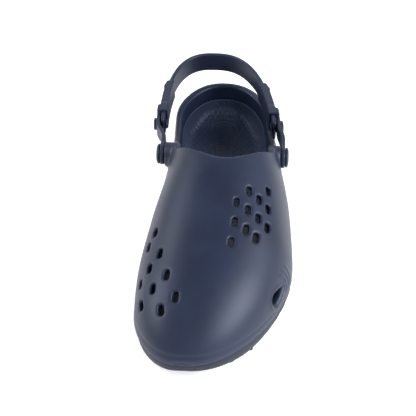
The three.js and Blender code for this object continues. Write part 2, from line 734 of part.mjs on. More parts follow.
// The keeper sleeve of one side: thick at its two ends, slim between.
function keeperSleeve(side) {
  const first = turnAt(SLEEVE_START);
  const last = turnAt(SLEEVE_END);
  const turns = side > 0 ? [first, last] : [Math.PI - last, Math.PI - first];
  const slim = halfBand + GAP + SLEEVE_WALL;
  const bump = slim + SLEEVE_BLOCK;
  const thick = curveThrough([
    [0, linkOuter], [SLEEVE_THICK_END, linkOuter], [SLEEVE_SLIM_START, slim],
    [SLEEVE_SLIM_END, slim], [SLEEVE_BEAD, bump], [1, slim],
  ]);
  return strip(
    bandStops(turns[0], turns[1], SLEEVE_STEPS, (fraction) => ({
      inner: -slim,
      outer: thick(side > 0 ? fraction : 1 - fraction),
      halfWidth: BAND_WIDTH / 2 + GAP + SLEEVE_WALL,
    })),
  );
}

const BORE_REACH = EYE_RADIUS / 2 + SLEEVE_WALL;

function sleeveBore(side) {
  const first = turnAt(SLEEVE_START - BORE_REACH);
  const last = turnAt(SLEEVE_END + BORE_REACH);
  const turns = side > 0 ? [first, last] : [Math.PI - last, Math.PI - first];
  const size = { inner: -linkInner, outer: linkInner, halfWidth: BAND_WIDTH / 2 + GAP };
  return strip(bandStops(turns[0], turns[1], BORE_STEPS, () => size));
}

function strapArm(side) {
  const radius = SHANK_RADIUS + GAP;
  const reach = LINK_THICKNESS * 2;
  const eye = turnedX([[0, -reach], [radius, -reach], [radius, reach], [0, reach]]);
  return strapLink(side)
    .add(keeperSleeve(side))
    .subtract(sleeveBore(side))
    .subtract(studHole(side))
    .subtract(eye.translate([linkPlane(side), 0, 0]));
}

function strapStud(side) {
  const headBase = linkOuter + GAP;
  const headTop = headBase + STUD_HEAD_THICKNESS;
  const flangeBase = -halfBand - GAP;
  const flangeTop = flangeBase - STUD_FLANGE_THICKNESS;
  return placeAtStud(
    turnedX([
      [0, flangeTop], [STUD_FLANGE_RADIUS, flangeTop], [STUD_FLANGE_RADIUS, flangeBase],
      [STUD_SHANK_RADIUS, flangeBase], [STUD_SHANK_RADIUS, headBase],
      [STUD_HEAD_RADIUS, headBase], [STUD_HEAD_RADIUS, headTop - EDGE_CUT],
      [STUD_HEAD_RADIUS - EDGE_CUT, headTop], [0, headTop],
    ]),
    side,
  );
}

// Outer rivet: a domed head over the link, its shank through link and wall.
function rivet(side) {
  const headBase = LINK_THICKNESS + 2 * GAP;
  const headTop = headBase + RIVET_HEAD_THICKNESS;
  const rimTop = headTop - EDGE_CUT;
  const shankEnd = -WALL - CAP_SOCKET;
  return placeAtHinge(
    turnedX([
      [0, shankEnd], [SHANK_RADIUS, shankEnd], [SHANK_RADIUS, headBase],
      [RIVET_HEAD_RADIUS, headBase], [RIVET_HEAD_RADIUS, rimTop],
      [RIVET_HEAD_RADIUS - EDGE_CUT, headTop - RIVET_DIMPLE / 4],
      [RIVET_HEAD_RADIUS / 2, headTop], [RIVET_HEAD_RADIUS / 4, headTop - RIVET_DIMPLE],
      [0, headTop - RIVET_DIMPLE],
    ]),
    side,
  );
}

// Inner cap: a disc in the seat of the wall that holds the end of the shank.
function rivetCap(side) {
  const face = -WALL - GAP;
  const back = face - CAP_THICKNESS;
  const socket = SHANK_RADIUS + GAP;
  return placeAtHinge(
    turnedX([
      [0, back], [CAP_RADIUS - EDGE_CUT, back], [CAP_RADIUS, back + EDGE_CUT],
      [CAP_RADIUS, face], [socket, face], [socket, face - CAP_SOCKET], [0, face - CAP_SOCKET],
    ]),
    side,
  );
}

const foam = (color, roughness) => {
  return new THREE.MeshStandardMaterial({ color, roughness, metalness: 0 });
};
const upperFoam = foam(0x2f3550, 0.55);
const soleFoam = foam(0x252a40, 0.6);
const linerFoam = foam(0x272d44, 0.75);
const strapFoam = foam(0x2c314b, 0.5);
const hardRubber = foam(0x30364f, 0.42);

const clog = new THREE.Group();
clog.add(toMesh('upper_shell', upperShell(), upperFoam));
clog.add(toMesh('outsole', outsole(), soleFoam));
clog.add(toMesh('insole', insole(), linerFoam));

const strap = new THREE.Group();
strap.position.set(0, HINGE_Y, HINGE_Z);
strap.rotation.x = THREE.MathUtils.degToRad(STRAP_TILT);
strap.add(toMesh('heel_band', heelBand(), strapFoam));
clog.add(strap);

for (const [name, side] of Object.entries(SIDES)) {
  strap.add(toMesh(`strap_arm_${name}`, strapArm(side), strapFoam));
  strap.add(toMesh(`strap_stud_${name}`, strapStud(side), hardRubber));
  clog.add(toMesh(`rivet_${name}`, rivet(side), hardRubber));
  clog.add(toMesh(`rivet_cap_${name}`, rivetCap(side), hardRubber));
}

export default clog;
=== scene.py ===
"""Rubber garden clog, left foot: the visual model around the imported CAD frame. Metres."""

import bmesh
import bpy
import numpy as np
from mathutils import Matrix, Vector


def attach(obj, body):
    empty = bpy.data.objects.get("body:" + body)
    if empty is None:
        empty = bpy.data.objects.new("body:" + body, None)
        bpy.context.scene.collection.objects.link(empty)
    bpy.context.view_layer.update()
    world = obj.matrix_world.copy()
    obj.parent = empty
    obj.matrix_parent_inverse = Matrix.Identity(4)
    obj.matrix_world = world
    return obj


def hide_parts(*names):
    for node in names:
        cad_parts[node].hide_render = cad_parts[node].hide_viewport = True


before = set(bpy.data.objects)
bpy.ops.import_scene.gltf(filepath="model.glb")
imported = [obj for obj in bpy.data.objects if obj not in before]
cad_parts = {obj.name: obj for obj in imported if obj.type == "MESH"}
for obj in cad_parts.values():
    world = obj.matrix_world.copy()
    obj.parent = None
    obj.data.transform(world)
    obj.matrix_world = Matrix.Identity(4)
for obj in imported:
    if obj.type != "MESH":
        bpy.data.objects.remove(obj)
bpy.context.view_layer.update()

MM = 0.001

# ---------------------------------------------------------------- camera

CAMERA_AZIMUTH = 3.0
CAMERA_ELEVATION = 41.0
CAMERA_DISTANCE = 0.64
CAMERA_AIM = Vector((0.0, 0.0, 0.04))
CAMERA_LENS = 73.6
CAMERA_SHIFT_X = -8 / 416


def make_camera():
    azimuth = np.radians(CAMERA_AZIMUTH)
    elevation = np.radians(CAMERA_ELEVATION)
    back = Vector(
        (
            np.sin(azimuth) * np.cos(elevation),
            -np.cos(azimuth) * np.cos(elevation),
            np.sin(elevation),
        )
    )
    data = bpy.data.cameras.new("camera")
    data.lens = CAMERA_LENS
    data.sensor_width = 36.0
    data.shift_x = CAMERA_SHIFT_X
    data.clip_start = 0.01
    camera = bpy.data.objects.new("camera", data)
    camera.location = CAMERA_AIM + back * CAMERA_DISTANCE
    camera.rotation_euler = (-back).to_track_quat("-Z", "Y").to_euler()
    bpy.context.scene.collection.objects.link(camera)
    bpy.context.scene.camera = camera


make_camera()

# ---------------------------------------------------------------- shape of the last (mm)

LENGTH = 284.0
WIDTH = 109.0
HEIGHT = 110.0
TOE_Y = -LENGTH / 2
HEEL_Y = LENGTH / 2
WALL = 4.6
TOE_WALL = 6.0
GAP = 0.3
OUTSOLE_WALL = 3.2
MIDSOLE_CLEARANCE = 0.4
TREAD_INSET = 1.0
TOE_SPRING = 14.0
HEEL_BEVEL = 6.0
LUG_HEIGHT = 3.0
INSOLE_THICKNESS = 4.0

MEDIAL_EDGE = [
    (-0.5, -0.42), (-0.35, -0.465), (-0.25, -0.475), (-0.105, -0.44),
    (0.05, -0.376), (0.21, -0.35), (0.367, -0.362), (0.5, -0.35),
]
LATERAL_EDGE = [
    (-0.5, 0.385), (-0.33, 0.477), (-0.175, 0.5275), (-0.035, 0.514),
    (0.14, 0.45), (0.315, 0.394), (0.5, 0.367),
]
CROWN = [
    (-0.5, 0.473), (-0.4, 0.527), (-0.28, 0.618), (-0.14, 0.755),
    (0.0, 0.882), (0.14, 0.973), (0.315, 1.0), (0.5, 0.964),
]
BREADTH_HEIGHT = [(-0.5, 0.218), (0.0, 0.218), (0.5, 0.245)]
RIM = [
    (-0.08, 0.66), (0.05, 0.7), (0.085, 0.718), (0.108, 0.7), (0.145, 0.635),
    (0.19, 0.566), (0.25, 0.538), (0.32, 0.528), (0.41, 0.534), (0.5, 0.565),
]
PARTING = [
    (-0.52, 0.255), (-0.35, 0.222), (-0.2, 0.2), (0.0, 0.195), (0.3, 0.2), (0.52, 0.215),
]
FOOTBED = [(-0.5, 0.21), (-0.3, 0.135), (0.0, 0.145), (0.2, 0.19), (0.5, 0.215)]
TOE_LIFT = [(-0.5, 1.0), (-0.385, 0.3), (-0.27, 0.0), (0.5, 0.0)]
HEEL_LIFT = [(-0.5, 0.0), (0.35, 0.0), (0.5, 1.0)]
INSOLE_CURL = [(-0.5, 0.0), (-0.05, 0.0), (0.2, 0.07), (0.5, 0.19)]
# Rounding of the plan outline, the crown and the base at the two ends.
TOE_ROUND_MEDIAL = 46.0
TOE_ROUND_LATERAL = 95.0
TOE_ROUND_CROWN = 58.0
TOE_ROUND_BASE = 30.0
HEEL_ROUND_SIDE = 48.0
HEEL_ROUND_CROWN = 42.0
HEEL_ROUND_BASE = 18.0
TOE_POWER = 2.15
HEEL_POWER = 2.2
CROWN_HEEL_POWER = 2.6
BASE_POWER = 2.0
TOE_TIP_X = -15.5
HEEL_TIP_X = 1.0
TIP_BLEND = 25.0
RIDGE_SHIFT = 0.04
ARCH_POWER = 2.35
SOLE_POWER = 2.4
SOLE_FLAT = 0.7
MIN_REACH = 0.004
MIN_HALF = 0.3
FAR_RATIO = 1.4
FAR_DISTANCE = 4


def curve_through(points, scale=1.0):
    """A smooth curve through points with rising first values, without overshoot."""
    xs = np.array([p[0] for p in points], float)
    ys = np.array([p[1] for p in points], float)
    steps = np.diff(xs)
    rises = np.diff(ys) / steps
    slopes = np.zeros(len(xs))
    for i in range(1, len(xs) - 1):
        if rises[i - 1] * rises[i] > 0:
            slopes[i] = 2 * rises[i - 1] * rises[i] / (rises[i - 1] + rises[i])
    slopes[0] = rises[0]
    slopes[-1] = rises[-1]

    def value(x):
        x = np.clip(np.asarray(x, float), xs[0], xs[-1])
        i = np.clip(np.searchsorted(xs, x, side="right") - 1, 0, len(xs) - 2)
        t = (x - xs[i]) / steps[i]
        start = ys[i] * (1 + 2 * t) + slopes[i] * steps[i] * t
        end = ys[i + 1] * (3 - 2 * t) - slopes[i + 1] * steps[i] * (1 - t)
        return (start * (1 - t) ** 2 + end * t * t) * scale

    return value


def along(profile, scale):
    curve = curve_through(profile, scale)
    return lambda y: curve(np.asarray(y, float) / LENGTH)


medial_edge = along(MEDIAL_EDGE, WIDTH)
lateral_edge = along(LATERAL_EDGE, WIDTH)
crown_height = along(CROWN, HEIGHT)
breadth_height = along(BREADTH_HEIGHT, HEIGHT)
rim_height = along(RIM, HEIGHT)
parting_height = along(PARTING, HEIGHT)
footbed_height = along(FOOTBED, HEIGHT)
insole_curl = along(INSOLE_CURL, HEIGHT)
toe_lift = along(TOE_LIFT, TOE_SPRING)
heel_lift = along(HEEL_LIFT, HEEL_BEVEL)


def ground_height(y):
    return toe_lift(y) + heel_lift(y)


def opening(distance, reach, power):
    t = np.clip(distance / reach, 0, 1)
    return (1 - (1 - t) ** power) ** (1 / power)


def section_at(y, skin):
    """Cross-section of the last at y (mm), shrunk by the insets of a skin."""
    y = np.asarray(y, float)
    from_toe = np.maximum(y - (TOE_Y + skin["toe"]), MIN_REACH)
    from_heel = np.maximum(HEEL_Y - skin["heel"] - y, MIN_REACH)
    blend = 1 / (1 + np.exp(-y / TIP_BLEND))
    middle = TOE_TIP_X * (1 - blend) + HEEL_TIP_X * blend
    heel_side = opening(from_heel, HEEL_ROUND_SIDE, HEEL_POWER)
    open_medial = opening(from_toe, TOE_ROUND_MEDIAL, TOE_POWER) * heel_side
    open_lateral = opening(from_toe, TOE_ROUND_LATERAL, TOE_POWER) * heel_side
    crown_heel = opening(from_heel, HEEL_ROUND_CROWN, CROWN_HEEL_POWER)
    open_crown = opening(from_toe, TOE_ROUND_CROWN, TOE_POWER) * crown_heel
    base_heel = opening(from_heel, skin["heel_round"], BASE_POWER)
    open_base = opening(from_toe, TOE_ROUND_BASE, BASE_POWER) * base_heel
    medial = middle + (medial_edge(y) + skin["side"] - middle) * open_medial
    lateral = middle + (lateral_edge(y) - skin["side"] - middle) * open_lateral
    breadth = breadth_height(y) + skin["lift"]
    crown = breadth + (crown_height(y) - skin["side"] - breadth) * open_crown
    base = breadth + (skin["base"](y) - breadth) * open_base
    ridge = (medial + lateral) / 2 - RIDGE_SHIFT * (lateral - medial)
    return medial, lateral, breadth, crown, base, ridge


def make_skin(side, toe, heel, base, lift=0.0, heel_round=HEEL_ROUND_BASE):
    """Insets of a last-shaped surface; its lift raises the widest line."""
    names = ("side", "toe", "heel", "base", "lift", "heel_round")
    return dict(zip(names, (side, toe, heel, base, lift, heel_round)))


OUTER = make_skin(0.0, 0.0, 0.0, lambda y: ground_height(y) + LUG_HEIGHT)
TREAD = make_skin(
    TREAD_INSET, TREAD_INSET, TREAD_INSET, lambda y: ground_height(y) + LUG_HEIGHT
)
MIDSOLE_INSET = OUTSOLE_WALL + MIDSOLE_CLEARANCE
MIDSOLE = make_skin(
    MIDSOLE_INSET,
    MIDSOLE_INSET,
    MIDSOLE_INSET,
    lambda y: ground_height(y) + LUG_HEIGHT + MIDSOLE_INSET,
)
CUP = make_skin(
    OUTSOLE_WALL,
    OUTSOLE_WALL,
    OUTSOLE_WALL,
    lambda y: ground_height(y) + LUG_HEIGHT + OUTSOLE_WALL,
)
FOOT = make_skin(WALL, TOE_WALL, WALL, footbed_height)
# The cradle rounds the floor into the walls; the sock is the face of the insole inside it.
CRADLE_LIFT = 16.0
CRADLE_HEEL_ROUND = 36.0
LINER_STEP = 1.9
LINER_GAP = 0.35
CRADLE = make_skin(
    WALL,
    TOE_WALL,
    WALL,
    lambda y: footbed_height(y) + GAP,
    lift=CRADLE_LIFT,
    heel_round=CRADLE_HEEL_ROUND,
)
SOCK = make_skin(
    WALL + LINER_STEP,
    TOE_WALL + LINER_STEP,
    WALL + LINER_STEP,
    lambda y: footbed_height(y) + GAP + INSOLE_THICKNESS,
    lift=CRADLE_LIFT,
    heel_round=CRADLE_HEEL_ROUND,
)


def arch_point(y, angle, skin):
    """Point of the arch over the foot; the angle runs from the big-toe side."""
    medial, lateral, breadth, crown, _, ridge = section_at(y, skin)
    power = 2 / ARCH_POWER
    across = -np.cos(angle)
    side = np.sign(across) * np.abs(across) ** power
    half = np.where(side < 0, ridge - medial, lateral - ridge)
    up = np.maximum(np.sin(angle), 0) ** power
    return np.stack([ridge + side * half, y + 0 * side, breadth + (crown - breadth) * up], -1)


# ---------------------------------------------------------------- distance fields on a grid


class Field:
    """A regular grid of points in a box (mm), for building soft-edged solids."""

    def __init__(self, low, high, step):
        self.low = np.array(low, float)
        self.step = step
        counts = np.ceil((np.array(high) - self.low) / step).astype(int) + 1
        self.axes = [(self.low[i] + step * np.arange(counts[i])) for i in range(3)]
        self.x = self.axes[0][:, None, None].astype(np.float32)
        self.y = self.axes[1][None, :, None].astype(np.float32)
        self.z = self.axes[2][None, None, :].astype(np.float32)

    def as_distance(self, value):
        """Divides an implicit function by its slope, so it reads as a distance near zero."""
        gx, gy, gz = np.gradient(value, self.step)
        slope = np.sqrt(gx * gx + gy * gy + gz * gz)
        return value / np.maximum(slope, 1e-4)

    def last_body(self, skin):
        """Signed distance to a last-shaped body, negative inside."""
        parts = [v.astype(np.float32)[None, :, None] for v in section_at(self.axes[1], skin)]
        medial, lateral, breadth, crown, base, ridge = parts
        side = self.x - ridge
        half = np.where(side < 0, ridge - medial, lateral - ridge)
        u = np.abs(side) / np.maximum(half, MIN_HALF)
        rise = self.z - breadth
        up = np.maximum(rise, 0) / np.maximum(crown - breadth, MIN_HALF)
        down = np.maximum(-rise, 0) / np.maximum(breadth - base, MIN_HALF)
        over = (u**ARCH_POWER + up**ARCH_POWER) ** (1 / ARCH_POWER)
        corner = np.maximum(u - SOLE_FLAT, 0) / (1 - SOLE_FLAT)
        under = (corner**SOLE_POWER + down**SOLE_POWER) ** (1 / SOLE_POWER)
        ratio = np.where(rise >= 0, over, under).astype(np.float32)
        value = self.as_distance(np.where(ratio > 1, 1 - 1 / np.maximum(ratio, 1), ratio - 1))
        # Well outside, where a first-order distance is poor near the two tips.
        value = np.where(ratio > FAR_RATIO, np.maximum(value, FAR_DISTANCE), value)
        ends = np.maximum(TOE_Y + skin["toe"] - self.y, self.y - (HEEL_Y - skin["heel"]))
        return np.maximum(value, ends)


def smooth_max(a, b, radius):
    """Larger of two distances, with the edge between them rounded."""
    h = np.maximum(radius - np.abs(a - b), 0) / radius
    return np.maximum(a, b) + h * h * radius / 4


def smooth_min(a, b, radius):
    return -smooth_max(-a, -b, radius)


def smooth_step(t):
    t = np.clip(t, 0, 1)
    return t * t * (3 - 2 * t)


def surface_net(field, distance):
    """Vertices and quads of the zero surface of a distance on the grid."""
    inside = distance < 0
    corners = [
        inside[i : i - 1 or None, j : j - 1 or None, k : k - 1 or None]
        for i in (0, 1)
        for j in (0, 1)
        for k in (0, 1)
    ]
    count = sum(c.astype(np.int8) for c in corners)
    active = (count > 0) & (count < 8)
    cells = np.argwhere(active)
    index = np.full(active.shape, -1, np.int32)
    index[active] = np.arange(len(cells))
    offsets = [(i, j, k) for i in (0, 1) for j in (0, 1) for k in (0, 1)]
    values = {
        o: distance[cells[:, 0] + o[0], cells[:, 1] + o[1], cells[:, 2] + o[2]] for o in offsets
    }
    total = np.zeros((len(cells), 3))
    hits = np.zeros(len(cells))
    for a in offsets:
        for axis in range(3):
            if a[axis]:
                continue
            b = tuple(v + (n == axis) for n, v in enumerate(a))
            va, vb = values[a], values[b]
            crossed = (va < 0) != (vb < 0)
            t = np.where(crossed, va / np.where(crossed, va - vb, 1), 0)
            point = np.array(a, float)[None, :] + t[:, None] * (np.arange(3) == axis)
            total += np.where(crossed[:, None], point, 0)
            hits += crossed
    points = field.low + field.step * (cells + total / hits[:, None])
    quads = []
    for axis in range(3):
        a, b = [n for n in range(3) if n != axis]
        lower = [slice(1, -1)] * 3
        lower[axis] = slice(0, -1)
        upper = list(lower)
        upper[axis] = slice(1, None)
        here, there = inside[tuple(lower)], inside[tuple(upper)]
        edge = np.argwhere(here != there)
        edge[:, a] += 1
        edge[:, b] += 1
        leaving = here[here != there]
        ring = []
        for da, db in ((-1, -1), (0, -1), (0, 0), (-1, 0)):
            cell = edge.copy()
            cell[:, a] += da
            cell[:, b] += db
            ring.append(index[cell[:, 0], cell[:, 1], cell[:, 2]])
        quad = np.stack(ring, -1)
        flip = leaving if axis != 1 else ~leaving
        quad[~flip] = quad[~flip][:, ::-1]
        quads.append(quad)
    return points, np.concatenate(quads)


def main_surface(points, quads):
    """Drops specks that aren't joined to the largest surface."""
    label = np.arange(len(points))
    while True:
        joined = label.copy()
        np.minimum.at(joined, quads.ravel(), np.repeat(label[quads].min(axis=1), 4))
        joined = joined[joined]
        if np.array_equal(joined, label):
            break
        label = joined
    quad_label = label[quads[:, 0]]
    kept = quads[quad_label == np.bincount(quad_label).argmax()]
    used, flat = np.unique(kept, return_inverse=True)
    return points[used], flat.reshape(-1, 4)


def sample_normals(field, distance, points):
    """Outward normals of the distance field at points."""
    spot = (points - field.low) / field.step
    normals = np.zeros_like(points)
    for axis in range(3):
        for sign in (1, -1):
            shifted = spot.copy()
            shifted[:, axis] += sign * 0.9
            normals[:, axis] += sign * trilinear(distance, shifted)
    return normals / np.maximum(np.linalg.norm(normals, axis=1, keepdims=True), 1e-9)


def trilinear(values, spot):
    spot = np.clip(spot, 0, np.array(values.shape) - 1.001)
    base = spot.astype(int)
    part = spot - base
    total = 0
    for i in (0, 1):
        for j in (0, 1):
            for k in (0, 1):
                weight = (
                    np.abs(1 - i - part[:, 0])
                    * np.abs(1 - j - part[:, 1])
                    * np.abs(1 - k - part[:, 2])
                )
                total = total + weight * values[base[:, 0] + i, base[:, 1] + j, base[:, 2] + k]
    return total


# ---------------------------------------------------------------- Blender meshes


def fix_normals(mesh):
    work = bmesh.new()
    work.from_mesh(mesh)
    bmesh.ops.recalc_face_normals(work, faces=work.faces)
    work.to_mesh(mesh)
    work.free()


def add_mesh(name, points_mm, faces, material):
    """A smooth-shaded object from points in millimetres and a list of faces."""
    mesh = bpy.data.meshes.new(name)
    mesh.from_pydata((np.asarray(points_mm) * MM).tolist(), [], faces)
    mesh.validate()
    fix_normals(mesh)
    mesh.polygons.foreach_set("use_smooth", np.ones(len(mesh.polygons), bool))
    obj = bpy.data.objects.new(name, mesh)
    bpy.context.scene.collection.objects.link(obj)
    mesh.materials.append(material)
    return obj


def apply_decimate(obj, ratio):
    modifier = obj.modifiers.new("thin", "DECIMATE")
    modifier.ratio = ratio
    bpy.context.view_layer.objects.active = obj
    obj.select_set(True)
    bpy.ops.object.modifier_apply(modifier=modifier.name)
    obj.select_set(False)


MOST_TRIANGLES = 190000


def field_object(name, field, distance, material):
    """An object from a distance field, thinned to a triangle budget and shaded by the field."""
    points, quads = main_surface(*surface_net(field, distance))
    obj = add_mesh(name, points, quads.tolist(), material)
    if len(quads) * 2 > MOST_TRIANGLES:
        apply_decimate(obj, MOST_TRIANGLES / (len(quads) * 2))
    mesh = obj.data
    places = np.empty(len(mesh.vertices) * 3)
    mesh.vertices.foreach_get("co", places)
    places = places.reshape(-1, 3) / MM
    mesh.polygons.foreach_set("use_smooth", np.ones(len(mesh.polygons), bool))
    mesh.normals_split_custom_set_from_vertices(sample_normals(field, distance, places).tolist())
    return obj


def grid_faces(rows, columns, closed=False):
    i, j = np.meshgrid(np.arange(rows - 1), np.arange(columns - (not closed)), indexing="ij")
    after = (j + 1) % columns
    return np.stack(
        [i * columns + j, i * columns + after, (i + 1) * columns + after, (i + 1) * columns + j],
        -1,
    ).reshape(-1, 4)


# ---------------------------------------------------------------- materials


FOAM_IOR = 1.48
FOAM_SPECULAR_TINT = (0.8, 0.86, 1.0, 1.0)
MOTTLE_SCALE = 28.0
GRAIN_DEPTH = 0.0002


def make_material(name, colour, roughness, grain, bump, variation=0.12):
    """Moulded foam: slight mottling in colour and roughness, fine grain in the bump."""
    material = bpy.data.materials.new(name)
    material.use_nodes = True
    nodes = material.node_tree.nodes
    links = material.node_tree.links
    shader = nodes["Principled BSDF"]
    shader.inputs["IOR"].default_value = FOAM_IOR
    shader.inputs["Specular Tint"].default_value = FOAM_SPECULAR_TINT
    place = nodes.new("ShaderNodeTexCoord")
    cloud = nodes.new("ShaderNodeTexNoise")
    cloud.inputs["Scale"].default_value = MOTTLE_SCALE
    cloud.inputs["Detail"].default_value = 5.0
    links.new(place.outputs["Object"], cloud.inputs["Vector"])
    tint = nodes.new("ShaderNodeValToRGB")
    dark = [c * (1 - variation) for c in colour]
    light = [c * (1 + variation) for c in colour]
    tint.color_ramp.elements[0].position = 0.35
    tint.color_ramp.elements[0].color = (*dark, 1)
    tint.color_ramp.elements[1].position = 0.65
    tint.color_ramp.elements[1].color = (*light, 1)
    links.new(cloud.outputs["Fac"], tint.inputs["Fac"])
    links.new(tint.outputs["Color"], shader.inputs["Base Color"])
    wear = nodes.new("ShaderNodeMapRange")
    wear.inputs["To Min"].default_value = roughness - 0.05
    wear.inputs["To Max"].default_value = roughness + 0.05
    links.new(cloud.outputs["Fac"], wear.inputs["Value"])
    links.new(wear.outputs["Result"], shader.inputs["Roughness"])
    fine = nodes.new("ShaderNodeTexNoise")
    fine.inputs["Scale"].default_value = grain
    fine.inputs["Detail"].default_value = 3.0
    links.new(place.outputs["Object"], fine.inputs["Vector"])
    relief = nodes.new("ShaderNodeBump")
    relief.inputs["Strength"].default_value = bump
    relief.inputs["Distance"].default_value = GRAIN_DEPTH
    links.new(fine.outputs["Fac"], relief.inputs["Height"])
    links.new(relief.outputs["Normal"], shader.inputs["Normal"])
    return material


UPPER_FOAM = make_material("upper_foam", (0.0105, 0.0165, 0.0400), 0.44, 2300, bump=0.4, variation=0.2)
SOLE_FOAM = make_material("sole_foam", (0.0070, 0.0100, 0.0225), 0.58, 2200, bump=0.3)
# The liner's colour is partly its own lighter shade and partly painted light: it is set about three
# times brighter than the upper's foam, to make up for the footbed lying in the shade of the dark
# ceiling.
LINER_FOAM_PAINTED_LIGHT = make_material("liner_foam", (0.0330, 0.0460, 0.0880), 0.5, 2400, bump=0.35)
STRAP_FOAM = make_material("strap_foam", (0.0100, 0.0155, 0.0370), 0.45, 2600, bump=0.2)
HARD_RUBBER = make_material("hard_rubber", (0.0105, 0.0160, 0.0380), 0.4, 2000, bump=0.15)

# ---------------------------------------------------------------- hinge and strap frame

HINGE_Y = 0.109 * LENGTH
HINGE_Z = 0.6 * HEIGHT
LINK_THICKNESS = 3.2
BAND_THICKNESS = 3.2
BAND_WIDTH = 17.0
EYE_RADIUS = 8.0
SHANK_RADIUS = 3.0
STRAP_TILT = np.radians(7.5)
STRAP_POWER = 2.6
STRAP_HEEL_ROOM = 1.0
STRAP_TUCK = 1.6
STRAP_SHIFT = -1.8
STRAP_DRIFT = -0.087
BAND_START = 28.5
LINK_HALF_WIDTH = 6.8
LINK_END = 42.0
SLEEVE_START = 38.5
SLEEVE_END = 75.5
SLEEVE_WALL = 1.2
SLEEVE_BEAD = 0.9
BORE_REACH = 6.0
PAD_STAND_MEDIAL = 4.9
PAD_STAND_LATERAL = 1.4


def pad_face(side):
    medial, lateral, breadth, crown, _, ridge = section_at(HINGE_Y, OUTER)
    up = ((HINGE_Z - breadth) / (crown - breadth)) ** ARCH_POWER
    reach = (1 - up) ** (1 / ARCH_POWER)
    edge, stand = (medial, PAD_STAND_MEDIAL) if side < 0 else (lateral, PAD_STAND_LATERAL)
    return float(ridge + reach * (edge - ridge) + side * stand)


def link_plane(side):
    return pad_face(side) + side * (LINK_THICKNESS / 2 + GAP)


HINGE_X = (link_plane(1) + link_plane(-1)) / 2
HINGE_HALF_SPAN = (link_plane(1) - link_plane(-1)) / 2
STRAP_REACH = HEEL_Y - HINGE_Y + STRAP_HEEL_ROOM
STRAP_HALF_WIDTH = HINGE_HALF_SPAN - STRAP_TUCK
SIDES = {"medial": -1, "lateral": 1}


def band_point(turn):
    """Centre line of the strap in its own plane: x across, s away from the hinge."""
    s = STRAP_REACH * np.sin(turn) ** (2 / STRAP_POWER)
    across = np.cos(turn)
    side = np.sign(across) * np.abs(across) ** (2 / STRAP_POWER)
    middle = HINGE_X + STRAP_SHIFT + STRAP_DRIFT * s
    return np.stack([middle + side * STRAP_HALF_WIDTH, s], -1)


def turn_at(s):
    return np.arcsin((np.asarray(s) / STRAP_REACH) ** (STRAP_POWER / 2))


def from_strap_frame(points):
    """Strap frame (x, s, up) to the row frame at rest."""
    x, s, up = points[..., 0], points[..., 1], points[..., 2]
    y = HINGE_Y + s * np.cos(STRAP_TILT) - up * np.sin(STRAP_TILT)
    z = HINGE_Z + s * np.sin(STRAP_TILT) + up * np.cos(STRAP_TILT)
    return np.stack([x, y, z], -1)


# ---------------------------------------------------------------- space for the foot


def lip_height(field):
    """Height of the insole's edge along the shoe."""
    lip = footbed_height(field.axes[1]) + INSOLE_THICKNESS + insole_curl(field.axes[1])
    return lip.astype(np.float32)[None, :, None]


def foot_seat(field):
    """Distance to the hollow that the insole lies in."""
    return np.maximum(field.last_body(FOOT), field.last_body(CRADLE))


def foot_space(field):
    """The hollow of the upper; behind the instep its wall is flush with the insole above its lip."""
    flush = field.last_body(SOCK) - LINER_STEP * (1 - smooth_step((field.y - 10) / 40))
    return np.maximum(foot_seat(field), np.minimum(field.z - lip_height(field), flush))


# ---------------------------------------------------------------- upper shell

THROAT_Y = -6.5
THROAT_X = 5.5
THROAT_BOW = 0.0205
# Fraction of LENGTH from the middle, and angle round the arch in degrees.
DRAIN_PLACE = (-0.298, 165)
DRAIN_SIZE = (15, 8)
DISH_SIZE = (22, 13)
DISH_RIDGE_RADIUS = 13
DISH_RIDGE_PITCH = 3.8
DISH_RIDGE_HEIGHT = 0.6
TOE_GROOVE_RISE = 6.5
TOE_GROOVE_DEPTH = 0.4
CAP_RADIUS = 6.2
PAD_MARGIN = 1.2
PAD_BLEND = 2.5
COLLAR_ROUND = 5.0
RIM_ROUND = 2.6
VENT_ROUND = 1.3
RECESS_MARGIN = 0.8
VENT_HALF_LENGTH = 3.7
VENT_HALF_WIDTH = 2.0
VENT_CORNER = 1.8
VENT_FIRST = -0.143
VENT_ROW_PITCH = 0.05
VENT_LEAN = 0.0126
VENT_STAGGER = 0.025
VENT_ANGLE = 103.5
VENT_ANGLE_PITCH = 8.3


def tangent_frame(y, angle):
    """Place, along-foot, across and outward directions on the outer skin."""
    place = arch_point(y, angle, OUTER)
    forward = arch_point(y + 0.5, angle, OUTER) - arch_point(y - 0.5, angle, OUTER)
    across = arch_point(y, angle + 0.01, OUTER) - arch_point(y, angle - 0.01, OUTER)
    outward = -np.cross(forward, across)
    outward /= np.linalg.norm(outward)
    forward /= np.linalg.norm(forward)
    return place, forward, np.cross(outward, forward), outward


def local_window(field, place, reach):
    """Slices of the grid within reach of a place, and its points there."""
    windows = []
    for axis, centre in zip(field.axes, place):
        low = np.searchsorted(axis, centre - reach)
        high = np.searchsorted(axis, centre + reach)
        windows.append(slice(max(low, 0), max(high, 1)))
    x = field.x[windows[0]] - place[0]
    y = field.y[:, windows[1]] - place[1]
    z = field.z[:, :, windows[2]] - place[2]
    return tuple(windows), (x, y, z)


def dot(parts, direction):
    return parts[0] * direction[0] + parts[1] * direction[1] + parts[2] * direction[2]


def vent_places():
    """Fraction of LENGTH from the middle, and degrees round the arch, of each vent."""
    places = [
        (-0.19, 43), (-0.26, 54), (-0.323, 65), (-0.378, 77), (-0.218, 36),
        (-0.287, 43), (-0.347, 51), (-0.402, 62), (-0.31, 29), (-0.371, 33),
    ]
    for column in range(4):
        for row in range(3):
            stagger = VENT_STAGGER if column % 2 else 0
            fraction = VENT_FIRST - VENT_ROW_PITCH * row + VENT_LEAN * column + stagger
            places.append((fraction, VENT_ANGLE + VENT_ANGLE_PITCH * column))
    return places


